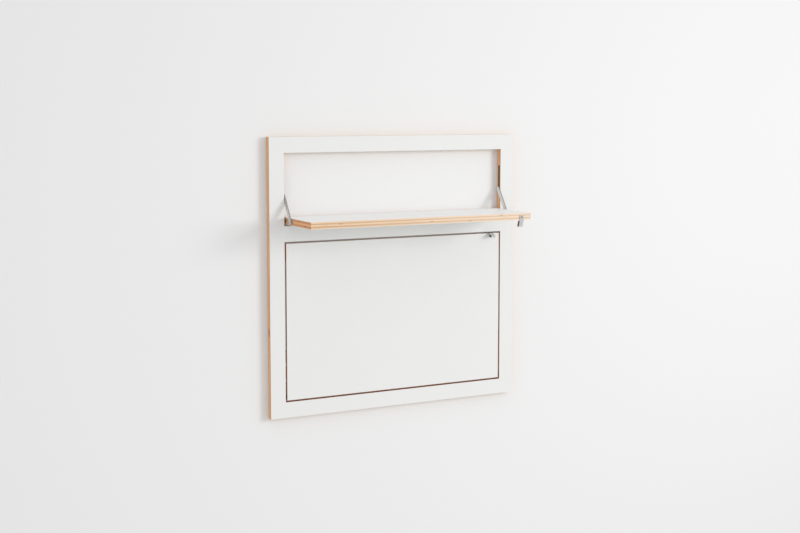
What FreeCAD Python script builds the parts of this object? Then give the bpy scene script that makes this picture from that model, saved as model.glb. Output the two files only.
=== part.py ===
import FreeCAD, Part
import math
import os
from collections import namedtuple
from FreeCAD import Vector

# Fold-down wall desk: one laminated plywood panel with two flaps cut out of it.
# The small upper flap is folded out as a shelf, the large lower flap (the desk) is closed.
# Millimetres. X to the right, Y into the wall, Z up.
# The origin is on the wall, in the middle of the line of wall screws.

# Panel
FRAME_WIDTH = 800.0
FRAME_HEIGHT = 800.0
STILE = 45.0
TOP_RAIL = 45.0
MIDDLE_RAIL = 45.0
BOTTOM_RAIL = 45.0
UPPER_OPENING = 206.0
CORE = 18.0
LAMINATE = 1.0
STANDOFF = 1.0

# Clearances
RUNNING_FIT = 0.05
SLIDING_GAP = 0.3
POCKET_GAP = 0.1
END_GAP = 1.0
SWING_GAP = 0.4
ARRIS = 0.5

# Struts and their sliders
STRUT_THICKNESS = 3.0
STRUT_GAP = 1.0
STRUT_WIDTH = 12.0
STRUT_RATIO = 1.77
STRUT_PIN = 3.0
SLIDER_TOP_MARGIN = 57.5
SLIDER_LENGTH = 14.0
GUIDE_SLOT = 5.0
GUIDE_WALL = 1.0
GUIDE_DEPTH = 9.0

# Hinges
HINGE_FORWARD = 1.0
PIN_DIAMETER = 6.0
PIN_SEAT = 14.0
BUSH_DIAMETER = 10.0
BUSH_LENGTH = 14.0
BUSH_FLANGE = 13.0
BLOCK_THICKNESS = 6.0
BLOCK_END = 10.0
BLOCK_GAP = 2.5

# Countersunk screws: shank, head, length
WOOD_SCREW = (3.5, 6.4, 16.0)
RAIL_SCREW = (3.5, 6.4, 12.0)
PIVOT_SCREW = (5.0, 8.0, 16.0)
SOCKET_FLATS = 2.0
SOCKET_DEPTH = 1.2

# Pull tabs, bent from strip
TAB_WIDTH = 14.0
TAB_SHEET = 1.2
TAB_FROM_SIDE = 31.5
TAB_LEG = 13.0
TAB_SCREW_IN = 7.5
TAB_NOSE = 0.6
TAB_BEND = 1.5
TAB_SLOPE = 17.0
TAB_BLADE = 18.0
TAB_FOLD = 2.5
TAB_RETURN = 14.5

# Magnets above the pull tabs
MAGNET_DIAMETER = 10.0
MAGNET_LENGTH = 8.0
MAGNET_PROUD = 1.0

# Interlocking rails, let into the frame's back, that hang the panel on the wall, and its wall pads
RAIL_LENGTH = 560.0
RAIL_SHEET = 1.5
RAIL_BASE = 10.0
RAIL_HOOK = 5.0
HOOK_GAP = 0.1
RAIL_FROM_TOP = 5.0
HANGER_DEPTH = 4.0
WALL_HOLE = 5.5
WALL_HOLE_END = 40.0
PAD_DIAMETER = 24.0

# Worked out from the sizes above
KERF = STRUT_THICKNESS + 2 * STRUT_GAP
BOARD = CORE + 2 * LAMINATE
BACK = -STANDOFF
FRONT = BACK - BOARD
HINGE_INSET = BOARD / 2 - HINGE_FORWARD
AXIS_Y = FRONT + HINGE_INSET
OPENING_HALF = FRAME_WIDTH / 2 - STILE
FLAP_HALF = OPENING_HALF - KERF
WALL_HOOK_TOP = RAIL_BASE / 2 + RAIL_SHEET + RAIL_HOOK
HANGER_TOP = WALL_HOOK_TOP + RAIL_SHEET + RAIL_BASE
FRAME_TOP = HANGER_TOP + RAIL_FROM_TOP
FRAME_FOOT = FRAME_TOP - FRAME_HEIGHT
UPPER_FOOT = FRAME_TOP - TOP_RAIL - UPPER_OPENING
LOWER_FOOT = FRAME_FOOT + BOTTOM_RAIL
LOWER_OPENING = UPPER_FOOT - MIDDLE_RAIL - LOWER_FOOT
HALF_TURN = 180.0
RIGHT_ANGLE = 90.0

SIDES = {"left": -1, "right": 1}
ALONG_X = Vector(1, 0, 0)
ALONG_Z = Vector(0, 0, 1)

Flap = namedtuple("Flap", "name foot opening turn")
FLAPS = [
    Flap("upper", UPPER_FOOT, UPPER_OPENING, RIGHT_ANGLE),
    Flap("lower", LOWER_FOOT, LOWER_OPENING, 0.0),
]


# Places on a flap, worked out while it stands closed

def axis_height(flap):
    return flap.foot + KERF + HINGE_INSET


def slider_closed(flap):
    """Height of the slider above the hinge axis when the flap is shut."""
    return flap.opening - KERF - HINGE_INSET - SLIDER_TOP_MARGIN


def pivot_reach(flap):
    """Distance from the hinge axis to the strut's pivot on the flap."""
    return slider_closed(flap) / (1 + STRUT_RATIO)


def strut_length(flap):
    return pivot_reach(flap) * STRUT_RATIO


def slider_open(flap):
    """Height of the slider above the hinge axis when the flap is level."""
    return math.sqrt(strut_length(flap) ** 2 - pivot_reach(flap) ** 2)


def strut_turn(flap):
    """How far a strut turns against its flap between shut and level, in degrees."""
    return RIGHT_ANGLE + math.degrees(math.asin(1 / STRUT_RATIO))


def flap_foot(flap):
    return flap.foot + KERF


def flap_top(flap):
    return flap.foot + flap.opening - KERF


def tab_middle():
    return FLAP_HALF - TAB_FROM_SIDE


def turned(shape, flap):
    """The shape swung with its flap from shut to the rest pose."""
    swung = shape.copy()
    swung.rotate(Vector(0, AXIS_Y, axis_height(flap)), ALONG_X, flap.turn)
    return swung


# Plain shapes

def box(x_span, y_span, z_span):
    low = Vector(x_span[0], y_span[0], z_span[0])
    return Part.makeBox(x_span[1] - low.x, y_span[1] - low.y, z_span[1] - low.z, low)


def across(side, inner, outer):
    """Span of X on one side of the panel, from distances out from its middle."""
    return sorted((side * inner, side * outer))


def bar_x(x_span, y, z, diameter):
    return Part.makeCylinder(diameter / 2, x_span[1] - x_span[0], Vector(x_span[0], y, z), ALONG_X)


def prism_x(x_span, outline):
    """Prism along X over a closed outline of (y, z) points."""
    points = [Vector(x_span[0], y, z) for y, z in outline + outline[:1]]
    return Part.Face(Part.makePolygon(points)).extrude(Vector(x_span[1] - x_span[0], 0, 0))


def obround_x(x_span, y, z_span, width):
    """Round-ended bar; z_span holds the centres of its two round ends."""
    x, r = x_span[0], width / 2
    low, high = z_span
    head = Part.Arc(Vector(x, y + r, high), Vector(x, y, high + r), Vector(x, y - r, high))
    tail = Part.Arc(Vector(x, y - r, low), Vector(x, y, low - r), Vector(x, y + r, low))
    rise = Part.LineSegment(Vector(x, y + r, low), Vector(x, y + r, high))
    fall = Part.LineSegment(Vector(x, y - r, high), Vector(x, y - r, low))
    wire = Part.Wire([edge.toShape() for edge in (rise, head, fall, tail)])
    return Part.Face(wire).extrude(Vector(x_span[1] - x, 0, 0))


def countersunk(size, head, direction, grow=0.0):
    """Countersunk screw with its head's face at head; grow makes the hole that it sits in."""
    shank, head_width, length = size
    depth = (head_width - shank) / 2
    body = Part.makeCylinder(shank / 2 + grow, length + grow, Vector(), -ALONG_Z)
    body = body.fuse(Part.makeCone(head_width / 2 + grow, shank / 2 + grow, depth, Vector(), -ALONG_Z))
    if grow:
        body = body.fuse(Part.makeCylinder(head_width / 2 + grow, END_GAP))
    else:
        body = body.cut(hex_socket())
    body = body.removeSplitter()
    body.Placement = FreeCAD.Placement(head, FreeCAD.Rotation(-ALONG_Z, direction))
    return body


def hex_socket():
    radius = SOCKET_FLATS / math.sqrt(3)
    turns = [math.radians(60 * step) for step in range(7)]
    points = [Vector(radius * math.cos(turn), radius * math.sin(turn), 0) for turn in turns]
    return Part.Face(Part.makePolygon(points)).extrude(Vector(0, 0, -SOCKET_DEPTH))


# Frame

def frame_board(y_span):
    """A slice of the panel's frame, with its two openings."""
    width = (-FRAME_WIDTH / 2, FRAME_WIDTH / 2)
    slab = box(width, y_span, (FRAME_FOOT, FRAME_TOP))
    for flap in FLAPS:
        opening = (flap.foot, flap.foot + flap.opening)
        slab = slab.cut(box((-OPENING_HALF, OPENING_HALF), y_span, opening))
    return slab


def guide_span(flap, wall):
    """Heights of the centres of a guide's round ends, its slot grown by wall."""
    reach = (SLIDER_LENGTH - GUIDE_SLOT) / 2 + SLIDING_GAP
    axis = axis_height(flap)
    return (axis + slider_open(flap) - reach, axis + slider_closed(flap) + reach), GUIDE_SLOT + 2 * wall


def guide_body(flap, side, wall, depth):
    z_span, width = guide_span(flap, wall)
    return obround_x(across(side, OPENING_HALF, OPENING_HALF + depth), AXIS_Y, z_span, width)


def guide_channel(flap, side):
    """Round-ended tub let into the frame's inner edge, in which the slider runs."""
    tub = guide_body(flap, side, GUIDE_WALL, GUIDE_DEPTH)
    return tub.cut(guide_body(flap, side, 0.0, GUIDE_DEPTH - GUIDE_WALL))


def bush_seat(flap, side):
    depth = OPENING_HALF + BUSH_LENGTH + END_GAP
    width = BUSH_DIAMETER + 2 * RUNNING_FIT
    return bar_x(across(side, OPENING_HALF, depth), AXIS_Y, axis_height(flap), width)


def hinge_bush(flap, side):
    """Flanged bush; its flange keeps the flap in the middle of its opening."""
    axis = axis_height(flap)
    flange_face = FLAP_HALF + SLIDING_GAP
    end = OPENING_HALF + BUSH_LENGTH
    sleeve = bar_x(across(side, OPENING_HALF, end), AXIS_Y, axis, BUSH_DIAMETER)
    flange = bar_x(across(side, flange_face, OPENING_HALF), AXIS_Y, axis, BUSH_FLANGE)
    bore = bar_x(across(side, flange_face, end), AXIS_Y, axis, PIN_DIAMETER + 2 * RUNNING_FIT)
    return sleeve.fuse(flange).cut(bore).removeSplitter()


def catch_magnet(flap, grow=0.0):
    """Round magnet in the top of the opening, just above the closed pull tab."""
    face = flap.foot + flap.opening - MAGNET_PROUD
    foot = Vector(tab_middle(), FRONT + TAB_SCREW_IN, face)
    return Part.makeCylinder(MAGNET_DIAMETER / 2 + grow, MAGNET_LENGTH + grow, foot)


def hanger_pockets():
    """Seat of the hanging rail, and below it the space in which the wall rail is hooked and unhooked."""
    seat_half, space_half = (RAIL_LENGTH / 2 + gap for gap in (POCKET_GAP, END_GAP))
    lowest = -RAIL_BASE / 2 - RAIL_HOOK - END_GAP
    seat = (WALL_HOOK_TOP - POCKET_GAP, HANGER_TOP + POCKET_GAP)
    return [
        box((-seat_half, seat_half), (-HANGER_DEPTH - RAIL_SHEET, BACK), seat),
        box((-space_half, space_half), (-HANGER_DEPTH, BACK), (lowest, WALL_HOOK_TOP)),
    ]


def hanger_screw_places():
    half = RAIL_LENGTH / 2 - WALL_HOLE_END
    middle = HANGER_TOP - RAIL_BASE / 2
    return [Vector(half * share, -HANGER_DEPTH, middle) for share in (-1, -1 / 3, 1 / 3, 1)]


def hanging_rail():
    """Frame's half of the hanger: its hook points down."""
    hook_back = -HOOK_GAP
    hook_front = hook_back - RAIL_SHEET
    plate_back = -HANGER_DEPTH
    plate_front = plate_back - RAIL_SHEET
    hook_tip = RAIL_BASE / 2 + RAIL_SHEET + SLIDING_GAP
    outline = [
        (plate_front, WALL_HOOK_TOP), (hook_front, WALL_HOOK_TOP), (hook_front, hook_tip),
        (hook_back, hook_tip), (hook_back, WALL_HOOK_TOP + RAIL_SHEET),
        (plate_back, WALL_HOOK_TOP + RAIL_SHEET), (plate_back, HANGER_TOP), (plate_front, HANGER_TOP),
    ]
    rail = prism_x((-RAIL_LENGTH / 2, RAIL_LENGTH / 2), outline)
    for place in hanger_screw_places():
        rail = rail.cut(countersunk(RAIL_SCREW, place, Vector(0, -1, 0), RUNNING_FIT))
    return rail


def wall_rail():
    """Wall's half of the hanger: screwed to the wall, its hook points up."""
    hook_back = -2 * HOOK_GAP - RAIL_SHEET
    hook_front = hook_back - RAIL_SHEET
    foot, bend = -RAIL_BASE / 2, RAIL_BASE / 2
    outline = [
        (0.0, foot), (0.0, bend + RAIL_SHEET), (hook_back, bend + RAIL_SHEET),
        (hook_back, WALL_HOOK_TOP), (hook_front, WALL_HOOK_TOP), (hook_front, bend),
        (-RAIL_SHEET, bend), (-RAIL_SHEET, foot),
    ]
    rail = prism_x((-RAIL_LENGTH / 2, RAIL_LENGTH / 2), outline)
    for place in hanger_screw_places():
        start = Vector(place.x, -RAIL_SHEET, 0)
        rail = rail.cut(Part.makeCylinder(WALL_HOLE / 2, RAIL_SHEET, start, Vector(0, 1, 0)))
    return rail


def wall_pads():
    """Round pads that keep the panel off the wall and parallel to it."""
    x = FRAME_WIDTH / 2 - STILE / 2
    heights = (FRAME_FOOT + BOTTOM_RAIL / 2, UPPER_FOOT - MIDDLE_RAIL / 2)
    places = [Vector(side * x, BACK, z) for side in SIDES.values() for z in heights]
    pads = [Part.makeCylinder(PAD_DIAMETER / 2, STANDOFF, place, Vector(0, 1, 0)) for place in places]
    return Part.makeCompound(pads)


def frame_nodes():
    core = frame_board((FRONT + LAMINATE, BACK - LAMINATE)).cut(hanger_pockets())
    screws = [countersunk(RAIL_SCREW, place, Vector(0, -1, 0)) for place in hanger_screw_places()]
    for place in hanger_screw_places():
        core = core.cut(countersunk(RAIL_SCREW, place, Vector(0, -1, 0), RUNNING_FIT))
    nodes = {
        "frame_front_laminate": frame_board((FRONT, FRONT + LAMINATE)),
        "frame_back_laminate": frame_board((BACK - LAMINATE, BACK)).cut(hanger_pockets()),
        "frame_hanging_rail": hanging_rail(),
        "hanging_rail_screws": Part.makeCompound(screws),
        "wall_rail": wall_rail(),
        "wall_pads": wall_pads(),
    }
    for flap in FLAPS:
        core = core.cut(catch_magnet(flap, RUNNING_FIT))
        nodes[f"{flap.name}_catch_magnet"] = catch_magnet(flap)
        for word, side in SIDES.items():
            pocket = guide_body(flap, side, GUIDE_WALL + POCKET_GAP, GUIDE_DEPTH + POCKET_GAP)
            core = core.cut([pocket, bush_seat(flap, side)])
            nodes[f"{flap.name}_{word}_guide_channel"] = guide_channel(flap, side)
            nodes[f"{flap.name}_{word}_hinge_bush"] = hinge_bush(flap, side)
    nodes["frame_core"] = core
    return nodes


# Flaps, built shut and then swung to their rest pose

def swing_bevel(room, face):
    """Bevel of a lower edge whose face is that far from the axis, and which has that much room to swing."""
    return max(ARRIS, HINGE_INSET - math.sqrt((room - SWING_GAP) ** 2 - face ** 2))


def flap_board(flap, y_span):
    """A slice of the flap; its lower edges are bevelled so that it clears the kerf and the wall."""
    front_bevel = swing_bevel(HINGE_INSET + KERF, HINGE_INSET)
    back_bevel = swing_bevel(-AXIS_Y, BACK - AXIS_Y)
    foot, top = flap_foot(flap), flap_top(flap)
    outline = [
        (FRONT, foot + front_bevel), (FRONT + front_bevel, foot), (BACK - back_bevel, foot),
        (BACK, foot + back_bevel), (BACK, top), (FRONT, top),
    ]
    width = (-FLAP_HALF, FLAP_HALF)
    return prism_x(width, outline).common(box(width, y_span, (foot, top)))


def block_space(flap, side, depth, end):
    """Box in the flap's side edge, from its lower edge to end above the strut's pivot."""
    top = axis_height(flap) + pivot_reach(flap) + end
    core = (FRONT + LAMINATE, BACK - LAMINATE)
    return box(across(side, FLAP_HALF - depth, FLAP_HALF), core, (flap_foot(flap), top))


def hinge_block(flap, side):
    """Solid wood block in the flap's side edge, which takes the hinge pin and the strut's pivot."""
    board = flap_board(flap, (FRONT + LAMINATE, BACK - LAMINATE))
    return board.common(block_space(flap, side, BLOCK_THICKNESS, BLOCK_END))


def block_pocket(flap, side):
    return block_space(flap, side, BLOCK_THICKNESS + POCKET_GAP, BLOCK_END + BLOCK_GAP)


def pin_body(flap, side, grow=0.0):
    x_span = across(side, FLAP_HALF - PIN_SEAT - grow, OPENING_HALF + BUSH_LENGTH)
    return bar_x(x_span, AXIS_Y, axis_height(flap), PIN_DIAMETER + 2 * grow)


def block_screws(flap, side, grow=0.0):
    """The two screws that hold a block, between the hinge pin and the strut's pivot."""
    heights = [axis_height(flap) + pivot_reach(flap) * share for share in (1 / 3, 2 / 3)]
    places = [Vector(side * FLAP_HALF, (FRONT + BACK) / 2, z) for z in heights]
    return [countersunk(WOOD_SCREW, place, Vector(-side, 0, 0), grow) for place in places]


def pivot_screw(flap, side, grow=0.0):
    """Screw that the strut turns on; its head is flush with the strut's outer face."""
    out = FLAP_HALF + STRUT_GAP + STRUT_THICKNESS
    place = Vector(side * out, AXIS_Y, axis_height(flap) + pivot_reach(flap))
    return countersunk(PIVOT_SCREW, place, Vector(-side, 0, 0), grow)


def tab_screw(flap, grow=0.0):
    place = Vector(tab_middle(), FRONT + TAB_SCREW_IN, flap_top(flap) + TAB_SHEET)
    return countersunk(WOOD_SCREW, place, -ALONG_Z, grow)


def bent_strip(start, bends, sheet, width):
    """Strip bent from sheet, its section in the YZ plane and its first run heading out of the panel.

    bends lists each run's length, then the inside radius and the angle that it turns down by.
    """
    def normal(heading):
        return Vector(0, math.sin(heading), math.cos(heading))

    def along(heading):
        return Vector(0, -math.cos(heading), math.sin(heading))

    heading, at = 0.0, start
    faces = {sheet / 2: [], -sheet / 2: []}
    for length, radius, angle in bends:
        end = at + along(heading) * length
        for offset, edges in faces.items():
            lift = normal(heading) * offset
            edges.append(Part.LineSegment(at + lift, end + lift).toShape())
        at = end
        if angle:
            turn = math.radians(angle)
            middle_radius = radius + sheet / 2
            centre = at - normal(heading) * middle_radius
            steps = [normal(heading - turn * share) for share in (0, 0.5, 1)]
            for offset, edges in faces.items():
                points = [centre + step * (middle_radius + offset) for step in steps]
                edges.append(Part.Arc(*points).toShape())
            heading -= turn
            at = centre + normal(heading) * middle_radius
    upper, lower = faces.values()
    caps = [
        Part.LineSegment(upper[0].firstVertex().Point, lower[0].firstVertex().Point).toShape(),
        Part.LineSegment(upper[-1].lastVertex().Point, lower[-1].lastVertex().Point).toShape(),
    ]
    wire = Part.Wire(Part.sortEdges(upper + lower + caps)[0])
    return Part.Face(wire).extrude(Vector(width, 0, 0))


def pull_tab(flap):
    """Tab of bent strip on the flap's top edge, with a folded lip for the fingers."""
    start = Vector(tab_middle() - TAB_WIDTH / 2, FRONT + TAB_LEG, flap_top(flap) + TAB_SHEET / 2)
    bends = [
        (TAB_LEG + TAB_NOSE, TAB_BEND, TAB_SLOPE),
        (TAB_BLADE, TAB_FOLD, HALF_TURN),
        (TAB_RETURN, 0.0, 0.0),
    ]
    return bent_strip(start, bends, TAB_SHEET, TAB_WIDTH).cut(tab_screw(flap, RUNNING_FIT))


def flap_nodes(flap):
    core = flap_board(flap, (FRONT + LAMINATE, BACK - LAMINATE)).cut(tab_screw(flap, RUNNING_FIT))
    nodes = {
        "flap_front_laminate": flap_board(flap, (FRONT, FRONT + LAMINATE)),
        "flap_back_laminate": flap_board(flap, (BACK - LAMINATE, BACK)),
        "pull_tab": pull_tab(flap),
        "pull_tab_screw": tab_screw(flap),
    }
    screws = []
    for word, side in SIDES.items():
        holes = block_screws(flap, side, RUNNING_FIT)
        holes += [pin_body(flap, side, RUNNING_FIT), pivot_screw(flap, side, RUNNING_FIT)]
        core = core.cut([block_pocket(flap, side)] + holes)
        nodes[f"{word}_hinge_block"] = hinge_block(flap, side).cut(holes)
        nodes[f"{word}_hinge_pin"] = pin_body(flap, side)
        nodes[f"{word}_strut_pivot"] = pivot_screw(flap, side)
        screws += block_screws(flap, side)
    nodes["flap_core"] = core
    nodes["hinge_block_screws"] = Part.makeCompound(screws)
    return {f"{flap.name}_{name}": turned(shape, flap) for name, shape in nodes.items()}


# Struts and sliders

def strut_top(flap):
    return axis_height(flap) + slider_closed(flap)


def strut_span(side):
    inner = FLAP_HALF + STRUT_GAP
    return across(side, inner, inner + STRUT_THICKNESS)


def strut_pin(flap, side, grow=0.0):
    return bar_x(strut_span(side), AXIS_Y, strut_top(flap), STRUT_PIN + 2 * grow)


def strut(flap, side):
    """Flat bar with an eye at each end, standing upright beside the shut flap."""
    foot = axis_height(flap) + pivot_reach(flap)
    bar = obround_x(strut_span(side), AXIS_Y, (foot, strut_top(flap)), STRUT_WIDTH)
    return bar.cut([pivot_screw(flap, side, RUNNING_FIT), strut_pin(flap, side, RUNNING_FIT)])


def leaned(shape, flap):
    """The strut's shape turned on its pivot, then swung with its flap, to the rest pose."""
    tipped = shape.copy()
    pivot = Vector(0, AXIS_Y, axis_height(flap) + pivot_reach(flap))
    tipped.rotate(pivot, ALONG_X, -strut_turn(flap) * flap.turn / RIGHT_ANGLE)
    return turned(tipped, flap)


def slider(flap, side):
    """Shoe that runs in the guide, with the bore for the strut's pin in its face."""
    share = flap.turn / RIGHT_ANGLE
    height = axis_height(flap) + slider_closed(flap) * (1 - share) + slider_open(flap) * share
    width = GUIDE_SLOT - 2 * SLIDING_GAP
    reach = (SLIDER_LENGTH - width) / 2
    face = OPENING_HALF + SLIDING_GAP
    floor = OPENING_HALF + GUIDE_DEPTH - GUIDE_WALL - SLIDING_GAP
    shoe = obround_x(across(side, face, floor), AXIS_Y, (height - reach, height + reach), width)
    bore = bar_x(across(side, face, (face + floor) / 2), AXIS_Y, height, STRUT_PIN + 2 * RUNNING_FIT)
    return shoe.cut(bore)


def strut_nodes(flap):
    nodes = {}
    for word, side in SIDES.items():
        nodes[f"{flap.name}_{word}_strut"] = leaned(strut(flap, side), flap)
        nodes[f"{flap.name}_{word}_strut_pin"] = leaned(strut_pin(flap, side), flap)
        nodes[f"{flap.name}_{word}_slider"] = slider(flap, side)
    return nodes


def main():
    nodes = frame_nodes()
    for flap in FLAPS:
        nodes.update(flap_nodes(flap))
        nodes.update(strut_nodes(flap))
    os.makedirs("parts", exist_ok=True)
    for name, shape in nodes.items():
        shape.exportStep(f"parts/{name}.step")


main()
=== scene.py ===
import math
from collections import namedtuple

import bpy
from mathutils import Matrix, Vector


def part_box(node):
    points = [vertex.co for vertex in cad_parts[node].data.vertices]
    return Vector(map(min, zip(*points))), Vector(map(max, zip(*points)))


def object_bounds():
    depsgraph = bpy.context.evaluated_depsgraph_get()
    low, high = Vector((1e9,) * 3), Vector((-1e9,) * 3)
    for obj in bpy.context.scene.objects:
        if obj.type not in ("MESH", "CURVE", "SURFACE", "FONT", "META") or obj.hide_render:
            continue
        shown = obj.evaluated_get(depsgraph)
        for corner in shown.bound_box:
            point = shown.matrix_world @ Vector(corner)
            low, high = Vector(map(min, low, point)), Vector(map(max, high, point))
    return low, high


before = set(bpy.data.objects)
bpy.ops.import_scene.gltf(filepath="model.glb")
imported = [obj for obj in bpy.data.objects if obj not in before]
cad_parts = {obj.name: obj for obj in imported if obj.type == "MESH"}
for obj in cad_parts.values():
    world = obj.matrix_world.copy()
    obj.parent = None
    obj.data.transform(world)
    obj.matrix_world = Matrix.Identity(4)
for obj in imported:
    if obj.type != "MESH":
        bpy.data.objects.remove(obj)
CAD_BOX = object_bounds()

bl_info = {
    "name": "Fold-down wall desk",
    "version": (1, 0, 0),
    "blender": (4, 5, 0),
    "location": "3D View > Sidebar > Wall desk",
    "description": "Finishes and stage for a wall panel with a shelf flap and a desk flap",
    "category": "Object",
}

FLAPS = ("upper", "lower")
SIDES = ("left", "right")
AXES = "XYZ"
MILLIMETRES = 1000.0
SENSOR_WIDTH = 36.0

# Size of a normal along an axis from which a face starts to count as facing that way, and counts fully
FACING = (0.4, 0.7)
# Share of open directions up to which a surface is inside a fold, and from which it is outside
FOLD_OPEN = (0.2, 0.6)
FOLD_SAMPLES = 16

# A pattern of noise: its features per millimetre, as one number or one for each axis, its detail and
# its roughness. As a mask it starts at one level of the noise, is full at another, and has a strength.
Pattern = namedtuple(
    "Pattern", "scale detail rough start full strength", defaults=(2.0, 0.5, 0.0, 1.0, 1.0))


def flap_nodes(ending):
    return [f"{flap}_{ending}" for flap in FLAPS]


def pair(flap, ending):
    """A flap's left and right node."""
    return [f"{flap}_{side}_{ending}" for side in SIDES]


def side_nodes(*endings):
    return [node for ending in endings for flap in FLAPS for node in pair(flap, ending)]


def shade(colour, share):
    """The colour made darker to that share."""
    return tuple(share * part for part in colour)


class Value:
    """A node's output; arithmetic on it adds Math nodes to its graph."""

    def __init__(self, graph, socket):
        self.graph = graph
        self.socket = socket

    def _math(self, operation, first, second=0.0):
        return self.graph.add("ShaderNodeMath", {"operation": operation}, {0: first, 1: second})

    def __add__(self, other):
        return self._math("ADD", self, other)

    def __sub__(self, other):
        return self._math("SUBTRACT", self, other)

    def __rsub__(self, other):
        return self._math("SUBTRACT", other, self)

    def __mul__(self, other):
        return self._math("MULTIPLY", self, other)

    def __truediv__(self, other):
        return self._math("DIVIDE", self, other)

    def __abs__(self):
        return self._math("ABSOLUTE", self)

    def largest(self, other):
        return self._math("MAXIMUM", self, other)

    def smallest(self, other):
        return self._math("MINIMUM", self, other)

    __radd__ = __add__
    __rmul__ = __mul__


class Graph:
    """The node tree of a material or of the world."""

    def __init__(self, owner):
        owner.use_nodes = True
        self.tree = owner.node_tree
        self.tree.nodes.clear()

    def add(self, kind, settings=None, inputs=None, take=0):
        """Adds one node and gives the output named by take, or several outputs for a tuple."""
        node = self.tree.nodes.new(kind)
        for key, value in (settings or {}).items():
            if key == "stops":
                self._set_stops(node.color_ramp, value)
            else:
                setattr(node, key, value)
        for key, value in (inputs or {}).items():
            if isinstance(value, Value):
                self.tree.links.new(value.socket, node.inputs[key])
            elif hasattr(value, "__len__") and len(value) < len(node.inputs[key].default_value):
                node.inputs[key].default_value = (*value, 1.0)
            else:
                node.inputs[key].default_value = value
        if take is None:
            return None
        if isinstance(take, tuple):
            return [Value(self, node.outputs[name]) for name in take]
        return Value(self, node.outputs[take])

    @staticmethod
    def _set_stops(ramp, stops):
        while len(ramp.elements) < len(stops):
            ramp.elements.new(1.0)
        for element, (position, level) in zip(ramp.elements, stops):
            element.position = position
            element.color = (level, level, level, 1.0)

    def axes(self, vector):
        return self.add("ShaderNodeSeparateXYZ", None, {0: vector}, ("X", "Y", "Z"))

    def place(self):
        """Object coordinates in millimetres, which ride along with a moving body."""
        spot = self.add("ShaderNodeTexCoord", None, None, "Object")
        return [part * MILLIMETRES for part in self.axes(spot)]

    def facing(self, axis):
        """1 where the surface faces one way or the other along an axis of the object."""
        normal = self.axes(self.add("ShaderNodeTexCoord", None, None, "Normal"))
        return self.step(abs(normal[axis]), *FACING)

    def noise(self, spot, pattern):
        """The pattern at a spot of three coordinates, between about 0.2 and 0.8."""
        scale = pattern.scale
        scales = scale if isinstance(scale, tuple) else (scale, scale, scale)
        parts = {number: part * share for number, (part, share) in enumerate(zip(spot, scales))}
        inputs = {
            "Vector": self.add("ShaderNodeCombineXYZ", None, parts),
            "Scale": 1.0,
            "Detail": pattern.detail,
            "Roughness": pattern.rough,
        }
        return self.add("ShaderNodeTexNoise", None, inputs)

    def mask(self, noise, pattern):
        return self.step(noise, pattern.start, pattern.full) * pattern.strength

    def inside(self, width):
        """1 inside a fold of the surface that is about that wide, in metres."""
        settings = {"only_local": True, "samples": FOLD_SAMPLES}
        share = self.add("ShaderNodeAmbientOcclusion", settings, {"Distance": width}, "AO")
        return 1 - self.step(share, *FOLD_OPEN)

    def step(self, value, low, high):
        inputs = {"Value": value, "From Min": low, "From Max": high}
        return self.add("ShaderNodeMapRange", {"interpolation_type": "SMOOTHSTEP"}, inputs)

    def mix(self, factor, first, second):
        return self.add("ShaderNodeMix", {"data_type": "RGBA"}, {0: factor, 6: first, 7: second}, 2)

    def tint(self, factor, colour, tone):
        """The colour, multiplied by the tone where factor is 1."""
        settings = {"data_type": "RGBA", "blend_type": "MULTIPLY"}
        return self.add("ShaderNodeMix", settings, {0: factor, 6: colour, 7: tone}, 2)

    def bump(self, height, strength, distance):
        inputs = {"Height": height, "Strength": strength, "Distance": distance}
        return self.add("ShaderNodeBump", None, inputs)

    def surface(self, **inputs):
        """A Principled shader; an underscore stands for the space in a socket's name."""
        sockets = {key.replace("_", " "): value for key, value in inputs.items()}
        return self.add("ShaderNodeBsdfPrincipled", None, sockets)

    def show(self, shader):
        self.add("ShaderNodeOutputMaterial", None, {"Surface": shader}, None)


def new_material(name):
    material = bpy.data.materials.new(name)
    return material, Graph(material)


def dress(names, material):
    """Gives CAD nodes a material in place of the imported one."""
    for name in names:
        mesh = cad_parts[name].data
        mesh.materials.clear()
        mesh.materials.append(material)


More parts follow.
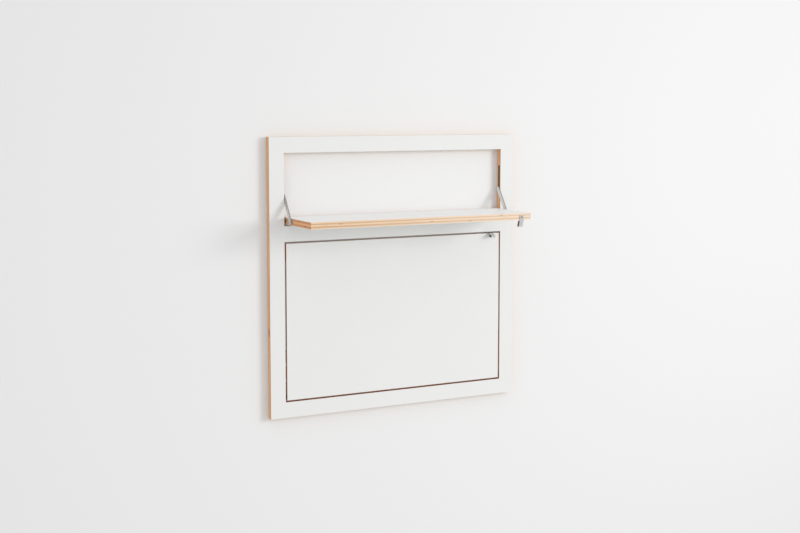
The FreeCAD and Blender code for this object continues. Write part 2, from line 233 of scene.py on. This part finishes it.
class DeskFinishes(bpy.types.PropertyGroup):
    """Colours of the desk's finishes."""

    laminate: bpy.props.FloatVectorProperty(
        name="Laminate", description="White face of the board",
        subtype="COLOR", default=(0.83, 0.83, 0.815))
    laminate_edge: bpy.props.FloatVectorProperty(
        name="Laminate edge", description="Cut edge of the laminate",
        subtype="COLOR", default=(0.77, 0.72, 0.65))
    long_grain: bpy.props.FloatVectorProperty(
        name="Long grain", description="Veneer cut along its grain",
        subtype="COLOR", default=(0.92, 0.67, 0.455))
    end_grain: bpy.props.FloatVectorProperty(
        name="End grain", description="Veneer cut across its grain",
        subtype="COLOR", default=(0.66, 0.44, 0.27))
    paler_end: bpy.props.FloatVectorProperty(
        name="Paler wood", description="Paler tone towards the right end of the shelf",
        subtype="COLOR", default=(1.0, 0.92, 0.82))
    glue: bpy.props.FloatVectorProperty(
        name="Glue line", description="Line between two veneers",
        subtype="COLOR", default=(0.36, 0.21, 0.11))
    knot: bpy.props.FloatVectorProperty(
        name="Knot", description="Dark knots and gaps in the veneers",
        subtype="COLOR", default=(0.22, 0.115, 0.055))
    # Painted shade: the side edges are tinted deeper and warmer, standing in for the warm shade that
    # falls on them
    painted_side_shade: bpy.props.FloatVectorProperty(
        name="Side tone", description="Deeper tone of the board's side edges",
        subtype="COLOR", default=(1.0, 0.755, 0.56))
    # Painted shade: the rails' edges in the lower flap's saw gap are coloured darker, standing in for
    # the shade inside the gap
    gap_painted_shade: bpy.props.FloatVectorProperty(
        name="Gap tone", description="Deeper tone of the rails' edges in the lower flap's saw gap",
        subtype="COLOR", default=(0.52, 0.22, 0.09))
    hardwood: bpy.props.FloatVectorProperty(
        name="Hardwood", description="Hinge blocks",
        subtype="COLOR", default=(0.70, 0.42, 0.24))
    steel: bpy.props.FloatVectorProperty(
        name="Steel", description="Struts, pins and screws",
        subtype="COLOR", default=(0.72, 0.71, 0.69))
    tab_steel: bpy.props.FloatVectorProperty(
        name="Tab steel", description="Pull tabs",
        subtype="COLOR", default=(0.70, 0.69, 0.675))
    dark_steel: bpy.props.FloatVectorProperty(
        name="Dark steel", description="Screws of the pull tabs",
        subtype="COLOR", default=(0.46, 0.42, 0.39))
    plastic: bpy.props.FloatVectorProperty(
        name="Plastic", description="Guides, sliders and bushes",
        subtype="COLOR", default=(0.028, 0.026, 0.025))
    aluminium: bpy.props.FloatVectorProperty(
        name="Aluminium", description="Hanging rails",
        subtype="COLOR", default=(0.74, 0.745, 0.755))
    nickel: bpy.props.FloatVectorProperty(
        name="Nickel", description="Catch magnets",
        subtype="COLOR", default=(0.66, 0.63, 0.58))
    rubber: bpy.props.FloatVectorProperty(
        name="Rubber", description="Wall pads",
        subtype="COLOR", default=(0.045, 0.045, 0.047))


class DeskStage(bpy.types.PropertyGroup):
    """Wall, floor, light and camera."""

    wall: bpy.props.FloatVectorProperty(
        name="Wall", description="Colour of the wall",
        subtype="COLOR", default=(0.85, 0.85, 0.85))
    floor: bpy.props.FloatVectorProperty(
        name="Floor", description="Colour of the floor",
        subtype="COLOR", default=(0.84, 0.84, 0.83))
    floor_height: bpy.props.FloatProperty(
        name="Floor height", description="Height of the floor, from the wall screws",
        unit="LENGTH", default=-1.5)
    wall_gap: bpy.props.FloatProperty(
        name="Wall gap", description="Space between the wall rail and the wall",
        unit="LENGTH", default=0.0001)
    stage_size: bpy.props.FloatProperty(
        name="Stage size", description="Width of the wall and the floor",
        unit="LENGTH", default=14.0)
    ambient: bpy.props.FloatProperty(
        name="Ambient", description="Level of the soft light from all round", default=0.705)
    ceiling: bpy.props.FloatProperty(
        name="Ceiling", description="How much stronger the soft light is from above", default=0.43)
    background: bpy.props.FloatProperty(
        name="Background", description="Level of the background that is seen and mirrored", default=0.88)
    lamp_place: bpy.props.FloatVectorProperty(
        name="Lamp place", description="Middle of the soft lamp",
        subtype="TRANSLATION", unit="LENGTH", default=(4.27, -3.98, 0.82))
    lamp_size: bpy.props.FloatProperty(
        name="Lamp size", description="Width of the soft lamp",
        unit="LENGTH", default=2.0)
    lamp_spread: bpy.props.FloatProperty(
        name="Lamp spread", description="How widely the lamp fans out",
        subtype="ANGLE", default=math.radians(75))
    lamp_power: bpy.props.FloatProperty(
        name="Lamp power", description="Power of the soft lamp",
        unit="POWER", default=24.0)
    camera_place: bpy.props.FloatVectorProperty(
        name="Camera place", description="Where the camera stands",
        subtype="TRANSLATION", unit="LENGTH", default=(-1.7137, -3.3837, 0.1151))
    camera_yaw: bpy.props.FloatProperty(
        name="Camera yaw", description="Turn of the camera to the right",
        unit="ROTATION", default=0.4737)
    camera_pitch: bpy.props.FloatProperty(
        name="Camera pitch", description="Tilt of the camera down",
        unit="ROTATION", default=0.0904)
    camera_lens: bpy.props.FloatProperty(
        name="Lens", description="Focal length in millimetres", default=58.063)
    camera_shift: bpy.props.FloatProperty(
        name="Shift", description="Upward shift of the view, as a share of its width", default=-0.055)


# White laminate

CLOUD = Pattern(0.012, 3.0)
PEBBLE = Pattern(1.1, rough=0.6)
SPECK = Pattern(2.6, 1.0, start=0.62, full=0.8, strength=0.05)
CLOUD_SHADE = 0.985


def laminate_material(name, node, finishes):
    """Satin laminate with faint clouds, a fine pebble and specks; its cut edge is a little browner."""
    low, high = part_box(node)
    thin = min(range(3), key=lambda axis: high[axis] - low[axis])
    material, graph = new_material(name)
    place = graph.place()
    cloud = graph.noise(place, CLOUD)
    pebble = graph.noise(place, PEBBLE)
    face = graph.mix(cloud, shade(finishes.laminate, CLOUD_SHADE), finishes.laminate)
    colour = graph.mix(1 - graph.facing(thin), face, finishes.laminate_edge)
    specks = graph.mask(graph.noise(place, SPECK), SPECK)
    skin = graph.surface(
        Base_Color=graph.mix(specks, colour, finishes.laminate_edge),
        Roughness=0.40 + 0.14 * cloud + 0.05 * pebble,
        Normal=graph.bump(pebble, strength=0.05, distance=0.0002),
        Specular_IOR_Level=0.35,
    )
    graph.show(skin)
    return material


class DESK_OT_laminate(bpy.types.Operator):
    """Finish the white faces of the frame and of both flaps"""

    bl_idname = "desk.laminate"
    bl_label = "White laminate"

    def execute(self, context):
        finishes = context.scene.desk_finishes
        boards = {"upright": ("frame", "lower_flap"), "level": ("upper_flap",)}
        for lie, names in boards.items():
            faces = [f"{board}_{face}_laminate" for board in names for face in ("front", "back")]
            dress(faces, laminate_material(f"laminate_{lie}", faces[0], finishes))
        return {"FINISHED"}


# Plywood

# Veneers of the board from its front face to its back, in millimetres
VENEERS = (2.5, 4.0, 5.0, 3.0, 3.5)
# How light each veneer is on an edge along X and on a side edge
LEVELS_ALONG = (1.0, 0.0, 1.0, 0.0, 1.0)
LEVELS_SIDE = (0.0, 0.0, 1.0, 0.0, 0.0)
# How far two veneers run into each other, the half width of a glue line, and how far the veneers
# wander up and down, in millimetres
VENEER_BLUR = 0.12
GLUE_LINE = 0.22
VENEER_WAVE = 0.9
# How far beyond the lower flap the painted shade of its saw gap reaches, and how sharply that ends, in
# millimetres
GAP_REACH = 8.0
GAP_BLUR = 1.0
# Squared distance from a knot's middle, as a share of its size, at which it starts to fade and ends
KNOT_FADE = (0.3, 1.0)
GLUE_STRENGTH = 0.55
KNOT_STRENGTH = 0.85
PALER_END_STRENGTH = 0.3

# Patterns along the edge, through the board, and set apart on the side edges by the third scale
STREAK = Pattern((0.10, 1.4, 9.0), 4.0, 0.65, start=0.3, full=0.75, strength=0.45)
PORE = Pattern((3.9, 1.3, 39.0), start=0.45, full=0.8, strength=0.55)
PATCH = Pattern((0.02, 0.06, 1.2), start=0.4, full=0.75, strength=0.3)
# Pattern along the edge, and set apart on the side edges by the second scale
WAVE = Pattern((0.035, 1.4, 1.0))


def veneers(graph, depth, levels):
    """Level of the veneer at a depth in the board."""
    total, top = sum(VENEERS), 0.0
    stops = []
    for thickness, level in zip(VENEERS, levels):
        foot = top + thickness
        stops += [((top + VENEER_BLUR) / total, level), ((foot - VENEER_BLUR) / total, level)]
        top = foot
    return graph.add("ShaderNodeValToRGB", {"stops": stops}, {"Fac": depth / total}, "Color")


def glue_mask(graph, depth):
    """1 on the glue lines between the veneers."""
    lines, height = 0.0, 0.0
    for thickness in VENEERS[:-1]:
        height += thickness
        lines = lines + (1 - graph.step(abs(depth - height), 0.0, GLUE_LINE))
    return lines


def knot_mask(graph, run, depth, knots):
    """1 inside each knot: (place along the edge, place through the board, half length, half height)."""
    total = 0.0
    for along, through, length, height in knots:
        spot = abs(run - along) / length
        tall = abs(depth - through) / height
        total = total + (1 - graph.step(spot * spot + tall * tall, *KNOT_FADE))
    return total


def gap_shade_mask(graph, place):
    """1 inside the opening that the lower flap shuts, where the saw gap's painted shade goes."""
    low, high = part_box("lower_flap_core")
    middle, half = (low + high) / 2 * MILLIMETRES, (high - low) / 2 * MILLIMETRES
    inside = 1.0
    for axis in "XZ":
        number = AXES.index(axis)
        reach = half[number] + GAP_REACH
        inside = (1 - graph.step(abs(place[axis] - middle[number]), reach, reach + GAP_BLUR)) * inside
    return inside


def plywood_material(name, core, depth_axis, rise_axis, finishes, knots):
    """Layered edge: light and dark veneers, with other levels and painted warm shade on the side edges;
    the frame also gets painted shade in the lower flap's saw gap.
    """
    low, high = (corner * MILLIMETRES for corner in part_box(core))
    material, graph = new_material(name)
    place = dict(zip(AXES, graph.place()))
    side = graph.facing(AXES.index("X"))
    run = side * place[rise_axis] + (1 - side) * place["X"]
    wave = graph.noise((run, side, 0.0), WAVE) - 0.5
    depth = place[depth_axis] - low[AXES.index(depth_axis)] + wave * VENEER_WAVE
    along = veneers(graph, depth, LEVELS_ALONG) * (1 - side) + veneers(graph, depth, LEVELS_SIDE) * side
    streak, pore, patch = (graph.noise((run, depth, side), pattern) for pattern in (STREAK, PORE, PATCH))
    light = graph.mix(graph.mask(streak, STREAK), finishes.long_grain, finishes.end_grain)
    dark = graph.mix(graph.mask(pore, PORE), finishes.end_grain, finishes.glue)
    wood = graph.mix(along, dark, light)
    wood = graph.mix(graph.mask(patch, PATCH), wood, finishes.end_grain)
    wood = graph.mix(glue_mask(graph, depth) * GLUE_STRENGTH, wood, finishes.glue)
    along_knots, side_knots = (knot_mask(graph, run, depth, spots) for spots in knots)
    spots = (along_knots * (1 - side) + side_knots * side).smallest(1.0)
    wood = graph.mix(spots * KNOT_STRENGTH, wood, finishes.knot)
    # Painted warm shade on the side edges
    wood = graph.tint(side, wood, finishes.painted_side_shade)
    # Painted shade on the frame's edges in the lower flap's saw gap
    if core == "frame_core":
        wood = graph.tint(gap_shade_mask(graph, place) * (1 - side), wood, finishes.gap_painted_shade)
    # The shelf's front edge gets paler towards its right end
    if core == "upper_flap_core":
        paler_share = graph.step(place["X"], low.x, high.x) * PALER_END_STRENGTH * (1 - side)
        wood = graph.mix(paler_share, wood, finishes.paler_end)
    relief = streak * 0.5 + pore * (1 - along) + along * 0.4
    skin = graph.surface(
        Base_Color=wood,
        Roughness=0.72 - 0.14 * along + 0.08 * streak,
        Normal=graph.bump(relief, strength=0.25, distance=0.0002),
        Specular_IOR_Level=0.3,
    )
    graph.show(skin)
    return material


class DESK_OT_plywood(bpy.types.Operator):
    """Finish the plywood cores of the frame and of both flaps"""

    bl_idname = "desk.plywood"
    bl_label = "Plywood"

    # Knots on the edges along X and on the side edges, in millimetres
    frame_knots = (
        ((-120.0, 13.2, 10.0, 1.5),),
        ((-524.0, 9.0, 16.0, 3.2), (-257.0, 4.8, 9.0, 1.4)))
    shelf_knots = (
        ((145.0, 3.0, 11.0, 1.3), (249.0, 15.6, 9.0, 1.2), (-262.0, 11.2, 7.0, 0.9),
         (20.0, 6.8, 8.0, 0.8)),
        ((-159.0, 4.6, 8.0, 1.3), (-109.0, 13.4, 6.0, 1.0)))
    desk_knots = (
        ((-205.0, 9.0, 9.0, 1.3), (120.0, 4.2, 8.0, 1.0)),
        ((-610.0, 9.0, 8.0, 1.4),))

    def execute(self, context):
        finishes = context.scene.desk_finishes
        for core, axes, knots in (
                ("frame_core", "YZ", self.frame_knots),
                ("upper_flap_core", "ZY", self.shelf_knots),
                ("lower_flap_core", "YZ", self.desk_knots)):
            dress([core], plywood_material(f"plywood_{core}", core, *axes, finishes, knots))
        return {"FINISHED"}


# Hardwood

# Patterns along the grain and across it
FIBRE = Pattern((0.12, 1.4, 1.4), 4.0, 0.6, start=0.35, full=0.7, strength=0.6)
VESSEL = Pattern((0.3, 5.0, 5.0), start=0.55, full=0.8, strength=0.4)
DEEP_WOOD = 0.66


def hardwood_material(name, colour, rise_axis):
    """Close-grained wood whose grain runs along the flap's side edge."""
    material, graph = new_material(name)
    place = dict(zip(AXES, graph.place()))
    spot = (place.pop(rise_axis), *place.values())
    fibre = graph.noise(spot, FIBRE)
    vessel = graph.noise(spot, VESSEL)
    deep = shade(colour, DEEP_WOOD)
    wood = graph.mix(graph.mask(fibre, FIBRE), tuple(colour), deep)
    skin = graph.surface(
        Base_Color=graph.mix(graph.mask(vessel, VESSEL), wood, deep),
        Roughness=0.55 + 0.15 * fibre,
        Normal=graph.bump(vessel, strength=0.2, distance=0.0002),
        Specular_IOR_Level=0.3,
    )
    graph.show(skin)
    return material


# Metal

SMUDGE = Pattern(0.06, 3.0, start=0.35, full=0.75)
BRUSHED = Pattern((2.0, 5.0, 0.06), 3.0, 0.6)
STRUT_SMUDGE = Pattern(0.05, 3.0)
# Scale of the fine lines along X, Y and Z on each kind of metal
TURNED = (3.0, 3.0, 3.0)
SCREW = (4.0, 4.0, 4.0)
STRIP = (4.0, 0.15, 0.15)
DRAWN = (0.02, 3.0, 3.0)
PLATED = (1.0, 1.0, 1.0)
WORN_METAL = 0.78
WORN_STRUT = 0.72
STRUT_EDGE = 0.6
PIN_SHADE = 0.9
# Painted shade on the tab: how dark its sides and the inside of its fold are painted, and how wide that
# fold is, in metres
TAB_SIDE_SHADE = 0.03
TAB_FOLD = 0.012


def metal_material(name, colour, lines, rough, scuff=0.3, painted_side_shade=1.0, fold=0.0):
    """Metal with fine lines, which get duller in smudges; lines gives their scale along X, Y and Z.

    The painted side shade paints shade on the faces along X, and on the inside of a fold of the given
    width.
    """
    material, graph = new_material(name)
    place = graph.place()
    fine = graph.noise(place, Pattern(lines, 3.0, 0.6))
    dull = graph.mask(graph.noise(place, SMUDGE), SMUDGE)
    tone = (fine - 0.5) * 0.7 + dull * scuff
    metal = graph.mix(tone.largest(0.0), tuple(colour), shade(colour, WORN_METAL))
    side = graph.facing(AXES.index("X"))
    # Painted shade inside the fold, found by ambient occlusion
    if fold:
        side = side.largest(graph.inside(fold))
    skin = graph.surface(
        Base_Color=graph.tint(side, metal, (painted_side_shade, painted_side_shade, painted_side_shade)),
        Metallic=1.0,
        Roughness=rough + 0.16 * fine + 0.12 * dull,
        Normal=graph.bump(fine, strength=0.12, distance=0.0001),
    )
    graph.show(skin)
    return material


def strut_material(name, colour, flap):
    """Steel brushed along the strut, which leans while its flap is level."""
    node = f"{flap}_left_strut"
    low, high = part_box(node)
    pin = sum(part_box(f"{node}_pin"), Vector()) / 2
    foot = low + high - pin
    lean = math.atan2(pin.y - foot.y, pin.z - foot.z)
    material, graph = new_material(name)
    x, y, z = graph.place()
    length = y * math.sin(lean) + z * math.cos(lean)
    across = y * math.cos(lean) - z * math.sin(lean)
    fine = graph.noise((x, across, length), BRUSHED)
    smudge = graph.noise((x, y, z), STRUT_SMUDGE)
    edge = 1 - graph.facing(AXES.index("X"))
    steel = graph.mix((fine - 0.35).largest(0.0), tuple(colour), shade(colour, WORN_STRUT))
    skin = graph.surface(
        Base_Color=graph.mix(edge, steel, shade(colour, STRUT_EDGE)),
        Metallic=1.0,
        Roughness=0.30 + 0.18 * fine + 0.12 * smudge + 0.25 * edge,
        Normal=graph.bump(fine, strength=0.15, distance=0.0001),
    )
    graph.show(skin)
    return material


class DESK_OT_struts(bpy.types.Operator):
    """Finish the struts and all pins and pivots"""

    bl_idname = "desk.struts"
    bl_label = "Struts"

    def execute(self, context):
        steel = context.scene.desk_finishes.steel
        for flap in FLAPS:
            dress(pair(flap, "strut"), strut_material(f"steel_strut_{flap}", steel, flap))
        turned = metal_material("steel_turned", shade(steel, PIN_SHADE), TURNED, rough=0.28)
        dress(side_nodes("strut_pin", "strut_pivot", "hinge_pin"), turned)
        return {"FINISHED"}


class DESK_OT_blocks(bpy.types.Operator):
    """Finish the hinge blocks and their screws"""

    bl_idname = "desk.blocks"
    bl_label = "Hinge blocks"

    def execute(self, context):
        finishes = context.scene.desk_finishes
        for flap, rise_axis in zip(FLAPS, "YZ"):
            wood = hardwood_material(f"hardwood_{flap}", finishes.hardwood, rise_axis)
            dress(pair(flap, "hinge_block"), wood)
        screw = metal_material("steel_screw", finishes.steel, SCREW, rough=0.30)
        dress(flap_nodes("hinge_block_screws"), screw)
        return {"FINISHED"}


class DESK_OT_tabs(bpy.types.Operator):
    """Finish the pull tabs and their screws"""

    bl_idname = "desk.tabs"
    bl_label = "Pull tabs"

    def execute(self, context):
        finishes = context.scene.desk_finishes
        strip = metal_material(
            "steel_tab", finishes.tab_steel, STRIP, rough=0.38, painted_side_shade=TAB_SIDE_SHADE, fold=TAB_FOLD)
        dress(flap_nodes("pull_tab"), strip)
        screw = metal_material("steel_tab_screw", finishes.dark_steel, SCREW, rough=0.40)
        dress(flap_nodes("pull_tab_screw"), screw)
        return {"FINISHED"}


# Plastic, rubber, rails

BLOOM = Pattern(0.08, start=0.35, full=0.8, strength=0.6)
# How bloom makes a moulded colour paler: a factor, and what it adds
BLOOM_GAIN = 1.35
BLOOM_LIFT = 0.01


def moulded_material(name, colour, rough, grain, depth):
    """Moulded plastic or rubber with a fine grain of that scale and depth."""
    material, graph = new_material(name)
    place = graph.place()
    fine = graph.noise(place, Pattern(grain, 3.0, 0.6))
    bloom = graph.mask(graph.noise(place, BLOOM), BLOOM)
    pale = tuple(BLOOM_GAIN * part + BLOOM_LIFT for part in colour)
    skin = graph.surface(
        Base_Color=graph.mix(bloom, tuple(colour), pale),
        Roughness=rough + 0.16 * fine,
        Normal=graph.bump(fine, strength=0.2, distance=depth),
        Specular_IOR_Level=0.4,
    )
    graph.show(skin)
    return material


class DESK_OT_guides(bpy.types.Operator):
    """Finish the guide channels, the sliders and the hinge bushes"""

    bl_idname = "desk.guides"
    bl_label = "Guides and bushes"

    def execute(self, context):
        plastic = context.scene.desk_finishes.plastic
        dark = moulded_material("plastic_guide", plastic, rough=0.42, grain=1.6, depth=0.0001)
        dress(side_nodes("guide_channel", "slider", "hinge_bush"), dark)
        return {"FINISHED"}


class DESK_OT_hanger(bpy.types.Operator):
    """Finish the rails on the back, their screws, the wall pads and the catch magnets"""

    bl_idname = "desk.hanger"
    bl_label = "Hanger and catches"

    def execute(self, context):
        finishes = context.scene.desk_finishes
        rail = metal_material("aluminium_rail", finishes.aluminium, DRAWN, rough=0.30)
        dress(["frame_hanging_rail", "wall_rail"], rail)
        screw = metal_material("steel_rail_screw", finishes.steel, SCREW, rough=0.30)
        dress(["hanging_rail_screws"], screw)
        rubber = moulded_material("rubber_pad", finishes.rubber, rough=0.70, grain=1.2, depth=0.0002)
        dress(["wall_pads"], rubber)
        magnet = metal_material("nickel_magnet", finishes.nickel, PLATED, rough=0.16, scuff=0.5)
        dress(flap_nodes("catch_magnet"), magnet)
        return {"FINISHED"}


# Stage

ROLLER = Pattern(0.25, 3.0)
ROLLER_SHADE = 0.995


def stage_material(name, colour):
    """Matt paint that is seen from its front side only, so that it hides nothing from behind.

    It also lets through the light that falls straight on what the camera sees, so that the
    panel's back isn't black, and blocks all later bounces.
    """
    material, graph = new_material(name)
    roller = graph.noise(graph.place(), ROLLER)
    paint = graph.surface(
        Base_Color=graph.mix(roller, shade(colour, ROLLER_SHADE), tuple(colour)),
        Roughness=0.85,
        Specular_IOR_Level=0.15,
        Normal=graph.bump(roller, strength=0.02, distance=0.0005),
    )
    back = graph.add("ShaderNodeNewGeometry", None, None, "Backfacing")
    first_bounce = 1 - abs(graph.add("ShaderNodeLightPath", None, None, "Ray Depth") - 1)
    clear = graph.add("ShaderNodeBsdfTransparent")
    shaders = {0: back.largest(first_bounce), 1: paint, 2: clear}
    graph.show(graph.add("ShaderNodeMixShader", None, shaders))
    return material


def stage_plane(name, size, place, turn, material):
    half = size / 2
    mesh = bpy.data.meshes.new(name)
    corners = [(-half, -half, 0), (half, -half, 0), (half, half, 0), (-half, half, 0)]
    mesh.from_pydata(corners, [], [(0, 1, 2, 3)])
    mesh.materials.append(material)
    plane = bpy.data.objects.new(name, mesh)
    plane.matrix_world = Matrix.Translation(place) @ turn
    bpy.context.scene.collection.objects.link(plane)


def light_world(stage):
    """Soft light, stronger from above, with a pale background for what is seen and mirrored."""
    world = bpy.data.worlds.new("studio")
    bpy.context.scene.world = world
    graph = Graph(world)
    rays = ("Is Camera Ray", "Is Glossy Ray", "Is Transmission Ray")
    camera, glossy, through = graph.add("ShaderNodeLightPath", None, None, rays)
    seen = camera.largest(glossy).largest(through)
    height = graph.axes(graph.add("ShaderNodeTexCoord", None, None, "Generated"))[2]
    soft = (1 + height.largest(0.0) * stage.ceiling) * stage.ambient
    level = seen * stage.background + (1 - seen) * soft
    sky = graph.add("ShaderNodeBackground", None, {"Color": (1.0, 1.0, 1.0), "Strength": level})
    graph.add("ShaderNodeOutputWorld", None, {"Surface": sky}, None)


def light_lamp(stage):
    """Soft lamp from the right. It isn't mirrored: its sheen would wash out the flaps' backs."""
    data = bpy.data.lights.new("soft_lamp", "AREA")
    data.energy = stage.lamp_power
    data.size = stage.lamp_size
    data.spread = stage.lamp_spread
    lamp = bpy.data.objects.new("soft_lamp", data)
    aim = (CAD_BOX[0] + CAD_BOX[1]) / 2 - Vector(stage.lamp_place)
    turn = aim.to_track_quat("-Z", "Y").to_matrix().to_4x4()
    lamp.matrix_world = Matrix.Translation(stage.lamp_place) @ turn
    lamp.visible_glossy = False
    bpy.context.scene.collection.objects.link(lamp)


def set_camera(stage):
    """Camera at the photograph's viewing angle."""
    yaw, pitch = stage.camera_yaw, stage.camera_pitch
    ahead = Vector((math.sin(yaw) * math.cos(pitch), math.cos(yaw) * math.cos(pitch), -math.sin(pitch)))
    right = Vector((math.cos(yaw), -math.sin(yaw), 0.0))
    up = right.cross(ahead)
    turn = Matrix((right, up, -ahead)).transposed().to_4x4()
    data = bpy.data.cameras.new("camera")
    data.sensor_width = SENSOR_WIDTH
    data.lens = stage.camera_lens
    data.shift_y = stage.camera_shift
    camera = bpy.data.objects.new("camera", data)
    camera.matrix_world = Matrix.Translation(stage.camera_place) @ turn
    bpy.context.scene.collection.objects.link(camera)
    bpy.context.scene.camera = camera


class DESK_OT_stage(bpy.types.Operator):
    """Set up the wall, the floor, the light and the camera"""

    bl_idname = "desk.stage"
    bl_label = "Stage"

    def execute(self, context):
        stage = context.scene.desk_stage
        size, floor = stage.stage_size, stage.floor_height
        upright = Matrix.Rotation(math.radians(90), 4, "X")
        wall_paint = stage_material("wall_paint", stage.wall)
        stage_plane("wall", size, (0.0, stage.wall_gap, floor + size / 2), upright, wall_paint)
        floor_paint = stage_material("floor_paint", stage.floor)
        stage_plane("floor", size, (0.0, 0.0, floor), Matrix.Identity(4), floor_paint)
        light_world(stage)
        light_lamp(stage)
        set_camera(stage)
        context.scene.view_settings.view_transform = "Standard"
        return {"FINISHED"}


class DESK_PT_panel(bpy.types.Panel):
    """Lists the steps that dress the desk"""

    bl_idname = "DESK_PT_panel"
    bl_label = "Wall desk"
    bl_space_type = "VIEW_3D"
    bl_region_type = "UI"
    bl_category = "Wall desk"

    def draw(self, context):
        for operator in OPERATORS:
            self.layout.operator(operator.bl_idname)
        for group in (context.scene.desk_finishes, context.scene.desk_stage):
            column = self.layout.column()
            for name in group.bl_rna.properties.keys():
                if name not in ("name", "rna_type"):
                    column.prop(group, name)


OPERATORS = (
    DESK_OT_laminate,
    DESK_OT_plywood,
    DESK_OT_struts,
    DESK_OT_blocks,
    DESK_OT_tabs,
    DESK_OT_guides,
    DESK_OT_hanger,
    DESK_OT_stage,
)
CLASSES = (DeskFinishes, DeskStage, *OPERATORS, DESK_PT_panel)


def register():
    for cls in CLASSES:
        bpy.utils.register_class(cls)
    bpy.types.Scene.desk_finishes = bpy.props.PointerProperty(type=DeskFinishes)
    bpy.types.Scene.desk_stage = bpy.props.PointerProperty(type=DeskStage)


def unregister():
    del bpy.types.Scene.desk_stage
    del bpy.types.Scene.desk_finishes
    for cls in reversed(CLASSES):
        bpy.utils.unregister_class(cls)


def main():
    register()
    for operator in OPERATORS:
        group, name = operator.bl_idname.split(".")
        getattr(getattr(bpy.ops, group), name)()


if __name__ == "__main__":
    main()
